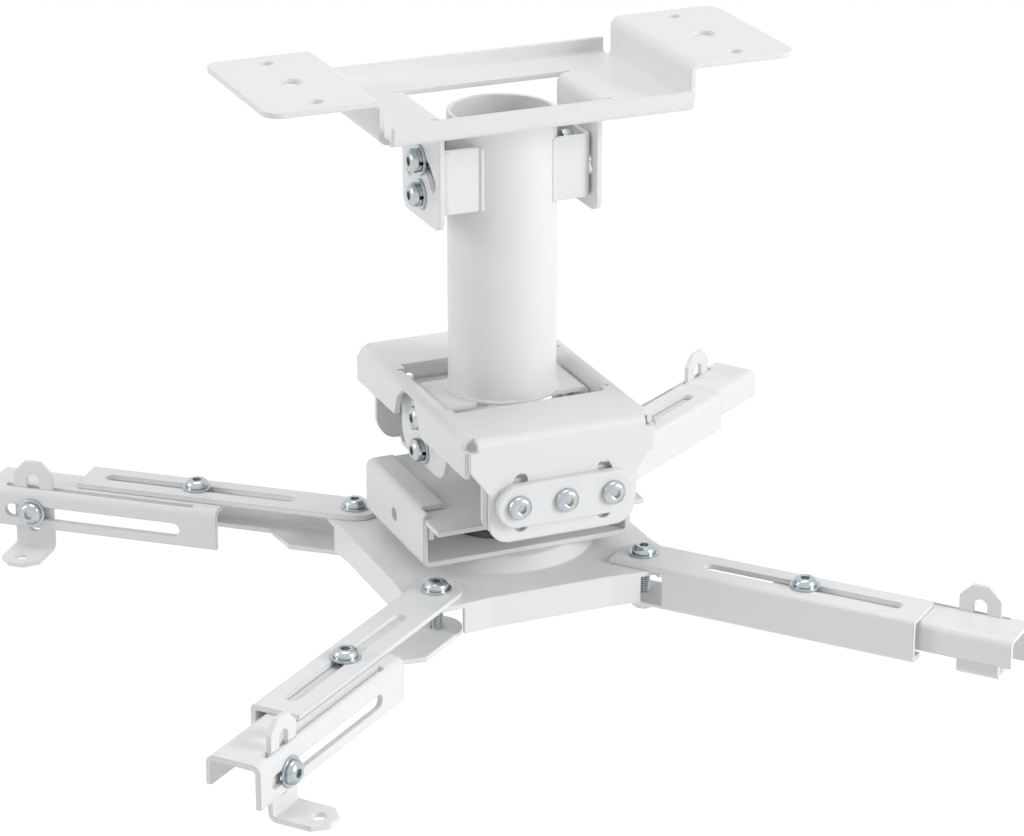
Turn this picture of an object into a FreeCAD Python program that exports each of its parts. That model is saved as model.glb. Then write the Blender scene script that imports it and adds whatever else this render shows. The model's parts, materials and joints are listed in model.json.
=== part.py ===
# Projector ceiling mount, folded from painted steel sheet and clamped with M6 screws.
# Millimetres. Z = 0 is the ceiling face of the top plate, X points right, Y to the rear.
# Everything below the column is drawn about the lower pivot, on the tilt axis of the frame.
import FreeCAD, Part
import Sketcher
import math
import os
import re

doc = FreeCAD.newDocument("projector_ceiling_mount")
Vector = FreeCAD.Vector
Rotation = FreeCAD.Rotation
Placement = FreeCAD.Placement

SIZES = {
    # Sheet and running clearances
    "sheet": 2.5,
    "bend": 4.0,
    "run_gap": 0.1,
    "pivot_gap": 0.2,
    "slide_gap": 0.3,
    "slot_play": 0.6,
    "pin_play": 0.1,
    # M6 fasteners
    "screw": 6.0,
    "head_wide": 11.4,
    "head_high": 3.4,
    "socket_flat": 4.0,
    "socket_deep": 2.2,
    "shoulder_wide": 9.576,
    "shoulder_rise": 2.108,
    "head_rim": 0.51,
    "tip_taper": 0.75,
    "washer_wide": 14.0,
    "washer_high": 1.2,
    "spring_wide": 11.0,
    "spring_high": 1.5,
    "washer_play": 0.4,
    "tilt_screw_long": 15.0,
    "pivot_screw_long": 28.5,
    "clamp_screw_long": 12.8,
    "foot_screw_long": 12.5,
    "nut_flat": 10.0,
    "nut_high": 5.0,
    # Ceiling plate
    "ear_half": 126.0,
    "ear_deep": 43.0,
    "ear_corner": 8.0,
    "step_half": 75.5,
    "pan_drop": 20.0,
    "pan_deep": 50.0,
    "pan_lip": 9.0,
    "fixing_across": 100.0,
    "fixing_deep": 32.0,
    "fixing_hole": 6.5,
    "hook_hole": 10.0,
    "flap_deep": 22.5,
    "flap_end": 12.0,
    "flap_corner": 6.0,
    "fold_relief": 1.5,
    # Column
    "upper_pivot": 59.0,
    "pivot_apart": 123.5,
    "clamp_radius": 16.0,
    "column_swing": 60.0,
    "tube_wide": 50.0,
    "tube_wall": 2.0,
    "tube_above": 35.0,
    "saddle_high": 26.0,
    "nut_room": 11.7,
    "cheek_deep": 17.0,
    "cheek_below": 9.0,
    "cheek_round": 7.0,
    "bracket_above": 24.0,
    "bracket_below": 5.5,
    "bracket_deep": 18.0,
    # Tilt frame
    "frame_top": 29.5,
    "frame_half": 46.3,
    "fold_room": 9.6,
    "frame_deep": 69.5,
    "frame_hole_deep": 33.5,
    "ear_wide": 27.0,
    "ear_below": 8.0,
    "ear_round": 12.0,
    "skirt_high": 18.0,
    "notch_front": 11.0,
    "notch_rear": 17.5,
    "shoulder_in": 1.7,
    "shoulder_high": 14.8,
    "cheek_slope": 2.5,
    "tongue_half": 35.4,
    "tongue_below": 21.0,
    "tongue_round": 9.0,
    "roll_drop": 3.0,
    "roll_radius": 23.0,
    "roll_slot": 28.0,
    # Yoke under the frame
    "wing_drop": 21.5,
    "wing_half": 49.2,
    "wing_stop_half": 51.0,
    "wing_deep": 46.5,
    "wing_stop": 30.7,
    "wing_lip": 10.5,
    "neck_half": 25.0,
    "yoke_half": 37.7,
    "yoke_top": 8.0,
    "yoke_round": 10.0,
    "strap_long": 66.0,
    "strap_high": 20.0,
    "pad_thick": 1.8,
    # Slide rail and swivel
    "rail_long": 72.0,
    "rail_shift": 6.0,
    "rail_high": 27.3,
    "rail_hole": 6.5,
    "rail_hole_high": 13.0,
    "lip_wide": 13.5,
    "lip_relief": 8.0,
    "disc_wide": 50.0,
    "disc_thick": 2.5,
    "swivel_screw": 10.0,
    "swivel_head_wide": 17.5,
    "swivel_head_high": 5.0,
    "swivel_nut_flat": 17.0,
    "swivel_nut_high": 8.0,
    # Pressed spider plate
    "boss_wide": 90.0,
    "boss_high": 6.2,
    "boss_slope": 5.0,
    "arm_pivot": 52.0,
    "spider_round": 14.0,
    "spider_waist": 1.5,
    "spider_flank": 45.0,
    "spider_belly": 30.0,
    "spider_high": 15.2,
    "leg_open": 8.0,
    # Outer arms
    "arm_width": 24.0,
    "arm_offset": 0.5,
    "arm_high": 21.0,
    "arm_reach": 139.0,
    "arm_wall_start": 15.0,
    "arm_lip": 8.5,
    "arm_bend": 2.2,
    "arm_nose": 11.8,
    "fork_reach": 30.0,
    "fork_taper": 15.0,
    "slot_start": 34.0,
    "slot_margin": 14.0,
    # Inner arms
    "inner_start": 64.0,
    "inner_end": 183.0,
    "inner_closed": 7.0,
    "inner_open": 19.5,
    "inner_high": 20.0,
    "inner_short_wall": 13.6,
    "clamp_at": 81.0,
    "window_start": 83.0,
    "window_margin": 9.0,
    "window_drop": 12.0,
    "loop_slot_start": 77.0,
    # Foot brackets
    "foot_at": 160.0,
    "foot_wide": 20.0,
    "foot_above": 13.4,
    "foot_high": 45.5,
    "foot_reach": 26.6,
    "foot_chamfer": 6.0,
    "foot_slot_top": 6.6,
    "foot_slot_long": 29.9,
    "foot_hole": 6.7,
    "foot_hole_in": 8.0,
}

# Rest directions of the arms, counted anticlockwise from +X, as the photo shows them.
ARM_TURNS = {
    "front_left": 218.8,
    "front_right": 309.5,
    "rear_left": 140.0,
    "rear_right": 33.0,
}
ARM_CORNERS = {
    "front_left": (-1, -1),
    "front_right": (1, -1),
    "rear_left": (-1, 1),
    "rear_right": (1, 1),
}

sizes = doc.addObject("Spreadsheet::Sheet", "Sizes")
for row, (alias, number) in enumerate(SIZES.items(), start=1):
    sizes.set("A%d" % row, alias)
    sizes.set("B%d" % row, str(number))
    sizes.setAlias("B%d" % row, alias)
doc.recompute()

# Places that follow from the sizes. Heights of the lower pieces count from the lower pivot.
PLACES = {
    "bend_inside": "bend - sheet",
    "pivot_bore": "screw + pin_play",
    "slot_bore": "screw + slot_play",
    "washer_bore": "screw + washer_play",
    "lower_pivot": "-upper_pivot - pivot_apart",
    "bracket_half": "tube_wide / 2 + nut_room",
    "clamp_inside": "bracket_half + pivot_gap",
    "clamp_outside": "clamp_inside + sheet",
    "cheek_half": "frame_half - fold_room",
    "flap_inside": "cheek_half + pivot_gap",
    "flap_outside": "flap_inside + sheet",
    "pan_half": "step_half - bend",
    "slot_angle": "column_swing + 1",
    "skirt_inside": "frame_half - sheet",
    "shoulder_half": "frame_half - shoulder_in",
    "flange_inside": "frame_deep - sheet",
    "yoke_outside": "flange_inside - pivot_gap",
    "yoke_inside": "yoke_outside - sheet",
    "pad_inside": "frame_deep + pivot_gap",
    "strap_inside": "pad_inside + pad_thick",
    "strap_outside": "strap_inside + sheet",
    "wing_under": "-wing_drop - sheet",
    "rail_inside": "wing_half + slide_gap",
    "rail_half": "rail_inside + sheet",
    "rail_top": "-wing_drop + slide_gap + sheet",
    "rail_floor": "rail_top - rail_high",
    "rail_front": "rail_shift - rail_long / 2",
    "rail_rear": "rail_shift + rail_long / 2",
    "boss_top": "rail_floor - run_gap",
    "spider_top": "boss_top - boss_high",
    "spider_half": "arm_pivot + spider_round",
    "spider_under": "spider_top - spider_high",
    "arm_under": "spider_top + run_gap",
    "arm_top": "arm_under + sheet",
    "arm_bottom": "arm_top - arm_high",
    "arm_closed": "-arm_width / 2 - arm_offset",
    "arm_opened": "arm_width / 2 - arm_offset",
    "slot_end": "arm_reach - slot_margin",
    "inner_top": "arm_under - pivot_gap",
    "inner_bottom": "inner_top - inner_high",
    "window_level": "inner_top - window_drop",
    "window_end": "inner_end - window_margin",
    "wall_face": "inner_open - sheet",
    "foot_back": "wall_face - run_gap",
    "foot_front": "foot_back - sheet",
    "foot_top": "inner_top + foot_above",
    "foot_bottom": "foot_top - foot_high",
}

places = doc.addObject("Spreadsheet::Sheet", "Places")


def bound(text):
    """Write an expression with each name taken from its sheet."""
    def named(match):
        word = match.group(0)
        if word in SIZES:
            return "Sizes." + word
        if word in PLACES:
            return "Places." + word
        return word
    return re.sub(r"[a-z_]+", named, str(text))


for row, (alias, rule) in enumerate(PLACES.items(), start=1):
    places.set("A%d" % row, alias)
    places.set("B%d" % row, "=" + bound(rule).replace("Places.", ""))
    places.setAlias("B%d" % row, alias)
    doc.recompute()


def value(text):
    """Work out an expression of the sheets as a plain number."""
    result = sizes.evalExpression(bound(text))
    return float(getattr(result, "Value", result))


PLANES = {"x": "YZ_Plane", "y": "XZ_Plane", "z": "XY_Plane"}


def new_body(label):
    """Start a sub-part."""
    body = doc.addObject("PartDesign::Body", label)
    body.Label = label
    return body


def set_down(body, rise):
    """Carry a sub-part to the height it is drawn about."""
    body.setExpression("Placement.Base.z", bound(rise))


def new_sketch(body, axis, level, rise="0"):
    """Attach a sketch square to an axis at a level along it."""
    sketch = body.newObject("Sketcher::SketchObject", body.Name + "_sketch")
    for feature in body.Origin.OriginFeatures:
        if feature.Role == PLANES[axis]:
            sketch.AttachmentSupport = [(feature, "")]
    sketch.MapMode = "FlatFace"
    sign = "-" if axis == "y" else ""
    sketch.setExpression("AttachmentOffset.Base.z", bound(sign + "(" + level + ")"))
    if rise != "0":
        sketch.setExpression("AttachmentOffset.Base.y", bound(rise))
    return sketch


def pin_point(sketch, item, end, across, up):
    """Bind one point of a sketch to two expressions."""
    for kind, text in (("DistanceX", across), ("DistanceY", up)):
        index = sketch.addConstraint(Sketcher.Constraint(kind, item, end, value(text)))
        sketch.setExpression("Constraints[%d]" % index, bound(text))


def draw_polygon(sketch, points):
    """Draw a closed outline through bound points."""
    corners = [Vector(value(across), value(up), 0) for across, up in points]
    first = len(sketch.Geometry)
    count = len(corners)
    lines = [Part.LineSegment(corners[i], corners[(i + 1) % count]) for i in range(count)]
    sketch.addGeometry(lines, False)
    joins = []
    for i in range(count):
        joins.append(Sketcher.Constraint("Coincident", first + i, 2, first + (i + 1) % count, 1))
    sketch.addConstraint(joins)
    for i, (across, up) in enumerate(points):
        pin_point(sketch, first + i, 1, across, up)


def draw_circle(sketch, across, up, diameter):
    """Draw a bound circle."""
    centre = Vector(value(across), value(up), 0)
    radius = value(diameter) / 2
    item = sketch.addGeometry(Part.Circle(centre, Vector(0, 0, 1), radius), False)
    index = sketch.addConstraint(Sketcher.Constraint("Diameter", item, 2 * radius))
    sketch.setExpression("Constraints[%d]" % index, bound(diameter))
    pin_point(sketch, item, 3, across, up)


def draw_stadium(sketch, start, end, width):
    """Draw a straight slot with round ends between two bound centres."""
    first_centre = Vector(value(start[0]), value(start[1]), 0)
    last_centre = Vector(value(end[0]), value(end[1]), 0)
    radius = value(width) / 2
    turn = math.atan2(last_centre.y - first_centre.y, last_centre.x - first_centre.x)
    side = Vector(-math.sin(turn), math.cos(turn), 0) * radius
    up = Vector(0, 0, 1)
    quarter = math.pi / 2
    first_round = Part.ArcOfCircle(
        Part.Circle(first_centre, up, radius), turn + quarter, turn + 3 * quarter)
    last_round = Part.ArcOfCircle(
        Part.Circle(last_centre, up, radius), turn - quarter, turn + quarter)
    item = len(sketch.Geometry)
    sketch.addGeometry([
        first_round,
        Part.LineSegment(first_centre - side, last_centre - side),
        last_round,
        Part.LineSegment(last_centre + side, first_centre + side),
    ], False)
    sketch.addConstraint([
        Sketcher.Constraint("Tangent", item, 2, item + 1, 1),
        Sketcher.Constraint("Tangent", item + 1, 2, item + 2, 1),
        Sketcher.Constraint("Tangent", item + 2, 2, item + 3, 1),
        Sketcher.Constraint("Tangent", item + 3, 2, item, 1),
    ])
    index = sketch.addConstraint(Sketcher.Constraint("Diameter", item, 2 * radius))
    sketch.setExpression("Constraints[%d]" % index, bound(width))
    pin_point(sketch, item, 3, *start)
    pin_point(sketch, item + 2, 3, *end)


def draw(sketch, shapes):
    """Draw polygons, circles and slots given as (kind, sizes...)."""
    for kind, *rest in shapes:
        if kind == "polygon":
            draw_polygon(sketch, rest[0])
        elif kind == "circle":
            draw_circle(sketch, *rest)
        else:
            draw_stadium(sketch, *rest)


def rectangle(left, right, low, high):
    """Corners of an upright rectangle."""
    return ("polygon", [(left, low), (right, low), (right, high), (left, high)])


def add(body, axis, low, high, *shapes):
    """Add sheet between two levels of an axis."""
    sketch = new_sketch(body, axis, high if axis == "y" else low)
    draw(sketch, shapes)
    pad = body.newObject("PartDesign::Pad", body.Name + "_pad")
    pad.Profile = sketch
    pad.setExpression("Length", bound("(%s) - (%s)" % (high, low)))
    doc.recompute()
    return pad


def cut(body, axis, low, high, *shapes):
    """Cut away what lies between two levels of an axis."""
    before = body.Shape.Volume
    sketch = new_sketch(body, axis, low if axis == "y" else high)
    draw(sketch, shapes)
    pocket = body.newObject("PartDesign::Pocket", body.Name + "_pocket")
    pocket.Profile = sketch
    pocket.setExpression("Length", bound("(%s) - (%s)" % (high, low)))
    doc.recompute()
    if not body.Shape.Volume < before:
        raise ValueError("a cut of %s removes nothing" % body.Label)
    return pocket


def cut_arc(body, axis, low, high, rise, radius, width, angle):
    """Cut a slot curved about an axis that lies at a rise: above it for x, beside it for y."""
    inner = "%s - (%s) / 2" % (radius, width)
    outer = "%s + (%s) / 2" % (radius, width)
    if axis == "x":
        shapes = [rectangle(low, high, inner, outer)]
        sketch = new_sketch(body, "y", "0", rise)
        line = "H_Axis"
    else:
        shapes = [rectangle(inner, outer, low, high)]
        sketch = new_sketch(body, "z", rise)
        line = "V_Axis"
    before = body.Shape.Volume
    draw(sketch, shapes)
    groove = body.newObject("PartDesign::Groove", body.Name + "_groove")
    groove.Profile = sketch
    groove.ReferenceAxis = (sketch, [line])
    groove.setExpression("Angle", bound("2 * (" + angle + ")"))
    groove.Midplane = True
    doc.recompute()
    if not body.Shape.Volume < before:
        raise ValueError("an arc slot of %s removes nothing" % body.Label)
    return groove


def straight_edges(body, axis, **where):
    """Names of the straight edges along an axis whose other coordinates match."""
    direction = {"x": Vector(1, 0, 0), "y": Vector(0, 1, 0), "z": Vector(0, 0, 1)}[axis]
    shape = body.Tip.Shape
    names = []
    for index, edge in enumerate(shape.Edges, start=1):
        if not isinstance(edge.Curve, Part.Line):
            continue
        if abs(edge.Curve.Direction.dot(direction)) < 0.9999:
            continue
        middle = edge.BoundBox.Center
        found = True
        for name, text in where.items():
            place = getattr(middle, name[0])
            if name.endswith("side"):
                place = abs(place)
            if abs(place - value(text)) > 0.01:
                found = False
        if found:
            names.append("Edge%d" % index)
    return names


def round_off(body, radius, *groups):
    """Round the straight edges found for each group."""
    names = []
    for axis, where in groups:
        found = straight_edges(body, axis, **where)
        if not found:
            raise ValueError("no edge of %s at %s" % (body.Label, where))
        names += found
    base = body.Tip
    fillet = body.newObject("PartDesign::Fillet", body.Name + "_round")
    fillet.Base = (base, names)
    fillet.setExpression("Radius", bound(radius))
    doc.recompute()
    return fillet


def opposite(points):
    """Close an outline that is symmetric about its upright axis, given its right half."""
    left = [("-(" + across + ")", up) for across, up in reversed(points)]
    return ("polygon", points + left)


def cut_clamp_slot(body, low, high, rise, angle):
    """Cut a curved clamp slot above a tilt pivot, with its round ends and the pivot hole."""
    cut_arc(body, "x", low, high, rise, "clamp_radius", "slot_bore", angle)
    across = "clamp_radius * sin((%s) * 1deg)" % angle
    up = "%s + clamp_radius * cos((%s) * 1deg)" % (rise, angle)
    cut(body, "x", low, high, ("circle", across, up, "slot_bore"),
        ("circle", "-(" + across + ")", up, "slot_bore"), ("circle", "0", rise, "pivot_bore"))


# Ceiling plate: one sheet, ears against the ceiling, a sunk pan and two clamp flaps.
def make_ceiling_plate():
    body = new_body("ceiling_plate")
    step_inside = "step_half - sheet"
    lip_top = "pan_lip - pan_drop"
    floor_top = "sheet - pan_drop"
    flap_low = "-upper_pivot - flap_end"
    add(body, "y", "-ear_deep", "ear_deep", opposite([
        (step_inside, floor_top), (step_inside, "0"), ("ear_half", "0"), ("ear_half", "-sheet"),
        ("step_half", "-sheet"), ("step_half", "-pan_drop")]))
    round_off(body, "bend", ("y", {"xside": "step_half", "z": "-pan_drop"}),
              ("y", {"xside": step_inside, "z": "0"}))
    round_off(body, "bend_inside", ("y", {"xside": step_inside, "z": floor_top}),
              ("y", {"xside": "step_half", "z": "-sheet"}))
    round_off(body, "ear_corner", ("z", {"xside": "ear_half", "yside": "ear_deep"}))
    add(body, "x", "-pan_half", "pan_half", opposite([
        ("pan_deep - sheet", floor_top), ("pan_deep - sheet", lip_top), ("pan_deep", lip_top),
        ("pan_deep", "-pan_drop")]))
    round_off(body, "bend", ("x", {"yside": "pan_deep", "z": "-pan_drop"}))
    round_off(body, "bend_inside", ("x", {"yside": "pan_deep - sheet", "z": floor_top}))
    relief_deep = "flap_deep + fold_relief"
    cut(body, "z", "-pan_drop", floor_top,
        rectangle("-clamp_inside", "clamp_inside", "-(" + relief_deep + ")", relief_deep))
    for side in ("", "-"):
        near = "%sclamp_inside" % side
        far = "%s(clamp_outside + bend)" % side
        left, right = (near, far) if side == "" else (far, near)
        cut(body, "z", "-pan_drop", floor_top,
            rectangle(left, right, "flap_deep", relief_deep),
            rectangle(left, right, "-(" + relief_deep + ")", "-flap_deep"))
    flap = rectangle("-flap_deep", "flap_deep", flap_low, floor_top)
    add(body, "x", "clamp_inside", "clamp_outside", flap)
    add(body, "x", "-clamp_outside", "-clamp_inside", flap)
    round_off(body, "bend", ("y", {"xside": "clamp_inside", "z": floor_top}))
    round_off(body, "bend_inside", ("y", {"xside": "clamp_outside", "z": "-pan_drop"}))
    round_off(body, "flap_corner", ("x", {"yside": "flap_deep", "z": flap_low}))
    cut_clamp_slot(body, "-clamp_outside", "clamp_outside", "-upper_pivot", "slot_angle")
    holes = []
    for across in ("fixing_across", "-fixing_across"):
        holes.append(("circle", across, "fixing_deep", "fixing_hole"))
        holes.append(("circle", across, "-fixing_deep", "fixing_hole"))
        holes.append(("circle", across, "0", "hook_hole"))
    cut(body, "z", "-sheet", "0", *holes)
    return body


# Column: tube, two clamp brackets welded to its sides, a saddle welded under it.
def make_drop_tube():
    body = new_body("drop_tube")
    add(body, "z", "lower_pivot + saddle_high", "tube_above - upper_pivot",
        ("circle", "0", "0", "tube_wide"), ("circle", "0", "0", "tube_wide - 2 * tube_wall"))
    return body


def make_tube_bracket(side):
    """Channel from the tube out to the flap, with its side plate on the flap."""
    body = new_body("tube_bracket_" + side)
    sign = "-" if side == "left" else ""
    low = "-upper_pivot - bracket_below"
    high = "bracket_above - upper_pivot"
    cheek_inside = "bracket_half - sheet"

    def between(near, far):
        return (near, far) if sign == "" else ("-(" + far + ")", "-(" + near + ")")

    near, far = between("tube_wide / 4", "bracket_half")
    add(body, "z", low, high, rectangle(near, far, "-bracket_deep", "bracket_deep"))
    edge = far if sign == "" else near
    round_off(body, "bend", ("z", {"x": edge, "yside": "bracket_deep"}))
    near, far = between("0", cheek_inside)
    cut(body, "z", low, high,
        rectangle(near, far, "sheet - bracket_deep", "bracket_deep - sheet"))
    inner_edge = cheek_inside if sign == "" else "-(" + cheek_inside + ")"
    round_off(body, "bend_inside", ("z", {"x": inner_edge, "yside": "bracket_deep - sheet"}))
    cut(body, "z", low, high, ("circle", "0", "0", "tube_wide"))
    near, far = between(cheek_inside, "bracket_half")
    cut(body, "x", near, far, ("circle", "0", "-upper_pivot", "pivot_bore"),
        ("circle", "0", "clamp_radius - upper_pivot", "pivot_bore"))
    return body


def make_lower_saddle():
    """Strap bent to an upturned U whose cheeks carry the frame's tilt screws."""
    body = new_body("lower_saddle")
    set_down(body, "lower_pivot")
    roof = "saddle_high - sheet"
    cheek_inside = "cheek_half - sheet"
    add(body, "y", "-cheek_deep", "cheek_deep", opposite([
        ("cheek_half", "saddle_high"), ("cheek_half", "-cheek_below"),
        (cheek_inside, "-cheek_below"), (cheek_inside, roof)]))
    round_off(body, "bend", ("y", {"xside": "cheek_half", "z": "saddle_high"}))
    round_off(body, "bend_inside", ("y", {"xside": cheek_inside, "z": roof}))
    round_off(body, "cheek_round", ("x", {"yside": "cheek_deep", "z": "-cheek_below"}))
    cut(body, "x", "-cheek_half", "cheek_half", ("circle", "0", "0", "pivot_bore"),
        ("circle", "0", "clamp_radius", "pivot_bore"))
    return body


# Tilt frame: a folded tray upside down, with pivot ears inside and tongues front and rear.
def make_tilt_frame():
    body = new_body("tilt_frame")
    set_down(body, "lower_pivot")
    roof = "frame_top - sheet"
    add(body, "z", roof, "frame_top", rectangle("-frame_half", "frame_half",
                                                "-frame_deep", "frame_deep"))
    skirt = rectangle("-flange_inside", "flange_inside", "frame_top - skirt_high", "frame_top")
    for low, high in (("-frame_half", "-skirt_inside"), ("skirt_inside", "frame_half")):
        add(body, "x", low, high, skirt)
    tongue = opposite([
        ("shoulder_half", "frame_top"), ("shoulder_half", "shoulder_high"),
        ("tongue_half", "cheek_slope"), ("tongue_half", "-tongue_below")])
    for low, high in (("-frame_deep", "-flange_inside"), ("flange_inside", "frame_deep")):
        add(body, "y", low, high, tongue)
    round_off(body, "tongue_round", ("y", {"xside": "tongue_half", "z": "-tongue_below"}))
    ear_clear = "ear_wide + fold_relief"
    cut(body, "z", roof, "frame_top", rectangle("-flap_inside", "flap_inside",
                                                "-frame_hole_deep", "frame_hole_deep"))
    ear = opposite([("ear_wide", "frame_top"), ("ear_wide", "-ear_below")])
    for low, high in (("-flap_outside", "-flap_inside"), ("flap_inside", "flap_outside")):
        add(body, "x", low, high, ear)
    round_off(body, "ear_round", ("x", {"yside": "ear_wide", "z": "-ear_below"}))
    for near, far in (("-frame_half", "-flap_inside"), ("flap_inside", "frame_half")):
        relief_near = "flap_inside" if near == "flap_inside" else "-flap_inside - bend - run_gap"
        relief_far = "flap_inside + bend + run_gap" if near == "flap_inside" else "-flap_inside"
        cut(body, "z", roof, "frame_top",
            rectangle(relief_near, relief_far, "ear_wide", ear_clear),
            rectangle(relief_near, relief_far, "-(" + ear_clear + ")", "-ear_wide"))
    round_off(body, "bend", ("y", {"xside": "flap_inside", "y": "0", "z": "frame_top"}))
    round_off(body, "bend_inside", ("y", {"xside": "flap_outside", "z": roof}))
    notches = []
    notch_near = "frame_half - bend - fold_relief"
    notch_deep = "frame_deep - bend - fold_relief"
    for left, right in ((notch_near, "frame_half"), ("-frame_half", "-(" + notch_near + ")")):
        notches.append(rectangle(left, right, notch_deep, "frame_deep"))
        notches.append(rectangle(left, right, "-frame_deep", "-(" + notch_deep + ")"))
    cut(body, "z", "frame_top - bend - fold_relief", "frame_top", *notches)
    round_off(body, "bend", ("y", {"xside": "frame_half", "z": "frame_top"}))
    round_off(body, "bend", ("x", {"yside": "frame_deep", "z": "frame_top"}))
    cut_clamp_slot(body, "-flap_outside", "flap_outside", "0", "slot_angle")
    skirt_low = "frame_top - skirt_high"
    notch = ("polygon", [
        ("-notch_front - sheet", skirt_low + " - sheet"), ("-notch_front", "clamp_radius"),
        ("-head_wide / 2 + run_gap", roof), ("head_wide / 2 + sheet", roof),
        ("notch_rear - sheet", "clamp_radius + screw"),
        ("notch_rear + sheet", skirt_low + " - sheet")])
    cut(body, "x", "skirt_inside", "frame_half", notch)
    cut(body, "x", "-frame_half", "-skirt_inside", notch)
    cut_roll_slots(body)
    return body


def cut_roll_slots(body):
    """Cut the roll pivot hole and the two curved roll slots through both tongues."""
    low, high = "-frame_deep", "frame_deep"
    holes = [("circle", "0", "-roll_drop", "pivot_bore")]
    for sign in ("", "-"):
        cut_arc(body, "y", low, high, "-roll_drop", sign + "roll_radius", "slot_bore",
                "roll_slot")
        across = sign + "roll_radius * cos(roll_slot * 1deg)"
        rise = "roll_radius * sin(roll_slot * 1deg)"
        holes.append(("circle", across, "-roll_drop + " + rise, "slot_bore"))
        holes.append(("circle", across, "-roll_drop - " + rise, "slot_bore"))
    for start, end in (("-frame_deep", "-flange_inside"), ("flange_inside", "frame_deep")):
        cut(body, "y", start, end, *holes)


# Yoke: a wing that the rail hangs on, necked to two upright plates inside the frame's tongues.
def make_yoke():
    body = new_body("yoke")
    set_down(body, "lower_pivot")
    neck = "wing_deep"
    top = "-wing_drop"
    add(body, "z", "wing_under", top, opposite([
        ("neck_half", "yoke_outside"), ("neck_half", neck), ("wing_half", neck),
        ("wing_half", "-wing_stop"), ("wing_stop_half", "-wing_stop"),
        ("wing_stop_half", "-(" + neck + ")"), ("neck_half", "-(" + neck + ")"),
        ("neck_half", "-yoke_outside")]))
    lip = rectangle("-wing_stop", "wing_deep", "-wing_drop - wing_lip", top)
    for low, high in (("wing_half - sheet", "wing_half"), ("-wing_half", "sheet - wing_half")):
        add(body, "x", low, high, lip)
    round_off(body, "bend_inside", ("y", {"xside": "wing_half - sheet", "z": "wing_under"}))
    upright_low = "wing_under + bend + fold_relief"
    upright = opposite([
        ("yoke_half", "yoke_top"), ("yoke_half", upright_low), ("neck_half", upright_low),
        ("neck_half", "wing_under")])
    for low, high in (("-yoke_outside", "-yoke_inside"), ("yoke_inside", "yoke_outside")):
        add(body, "y", low, high, upright)
    round_off(body, "bend", ("x", {"yside": "yoke_outside", "z": "wing_under"}))
    round_off(body, "bend_inside", ("x", {"yside": "yoke_inside", "z": top}))
    round_off(body, "yoke_round", ("y", {"xside": "yoke_half", "z": upright_low}))
    holes = [("circle", across, "-roll_drop", "pivot_bore")
             for across in ("0", "roll_radius", "-roll_radius")]
    cut(body, "y", "-yoke_outside", "yoke_outside", *holes)
    return body


def make_roll_strap(label, low, high):
    """Flat bar with round ends and three holes, over the front or rear tongue."""
    body = new_body(label)
    set_down(body, "lower_pivot")
    reach = "(strap_long - strap_high) / 2"
    holes = [("circle", across, "-roll_drop", "pivot_bore")
             for across in ("0", "roll_radius", "-roll_radius")]
    add(body, "y", low, high, ("stadium", ("-(" + reach + ")", "-roll_drop"),
                               (reach, "-roll_drop"), "strap_high"), *holes)
    return body


# Slide rail: C section that hangs on the wing and slides to the rear.
def make_slide_rail():
    body = new_body("slide_rail")
    set_down(body, "lower_pivot")
    lip_inside = "rail_half - lip_wide"
    floor_top = "rail_floor + sheet"
    lip_under = "rail_top - sheet"
    add(body, "y", "rail_front", "rail_rear", opposite([
        (lip_inside, "rail_top"), ("rail_half", "rail_top"), ("rail_half", "rail_floor")]))
    round_off(body, "bend", ("y", {"xside": "rail_half", "z": "rail_top"}),
              ("y", {"xside": "rail_half", "z": "rail_floor"}))
    cut(body, "y", "rail_front", "rail_rear", opposite([
        (lip_inside, "rail_top"), (lip_inside, lip_under),
        ("rail_inside", lip_under), ("rail_inside", floor_top)]))
    round_off(body, "bend_inside", ("y", {"xside": "rail_inside", "z": floor_top}))
    cut(body, "z", lip_under, "rail_top",
        rectangle(lip_inside, "rail_inside", "rail_front", "rail_front + lip_relief"),
        rectangle("-rail_inside", "-(" + lip_inside + ")", "rail_front",
                  "rail_front + lip_relief"))
    cut(body, "x", "-rail_half", "-rail_inside",
        ("circle", "rail_shift", "rail_floor + rail_hole_high", "rail_hole"))
    cut(body, "z", "rail_floor", floor_top,
        ("circle", "0", "rail_shift", "swivel_screw + pin_play"))
    return body


def make_swivel_disc():
    """Large washer on the rail floor, under the swivel screw's head."""
    body = new_body("swivel_disc")
    set_down(body, "lower_pivot")
    floor_top = "rail_floor + sheet"
    add(body, "z", floor_top, floor_top + " + disc_thick",
        ("circle", "0", "rail_shift", "disc_wide"),
        ("circle", "0", "rail_shift", "swivel_screw + pin_play"))
    return body


def spin(body, points):
    """Turn a profile, given as radius and height, about the upright axis."""
    sketch = new_sketch(body, "y", "0")
    draw_polygon(sketch, points)
    turned = body.newObject("PartDesign::Revolution", body.Name + "_turned")
    turned.Profile = sketch
    turned.ReferenceAxis = (sketch, ["V_Axis"])
    turned.Angle = 360
    doc.recompute()
    return turned


def hexagon(flat, across="0", up="0"):
    """Corners of a hexagon with flats left and right."""
    corners = []
    for turn in range(6):
        angle = "%d * 1deg" % (60 * turn + 30)
        corners.append(("%s + %s / sqrt(3) * cos(%s)" % (across, flat, angle),
                        "%s + %s / sqrt(3) * sin(%s)" % (up, flat, angle)))
    return ("polygon", corners)


def make_button_screw(label, length):
    """Button head screw: head seat at zero, shank down, hexagon socket on top."""
    body = new_body(label)
    spin(body, [
        ("0", "head_high"), ("head_wide / 4", "head_high"),
        ("shoulder_wide / 2", "shoulder_rise"), ("head_wide / 2", "head_rim"),
        ("head_wide / 2", "0"), ("screw / 2", "0"), ("screw / 2", "tip_taper - " + length),
        ("screw / 2 - tip_taper", "-" + length), ("0", "-" + length)])
    cut(body, "z", "head_high - socket_deep", "head_high", hexagon("socket_flat"))
    return body


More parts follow.
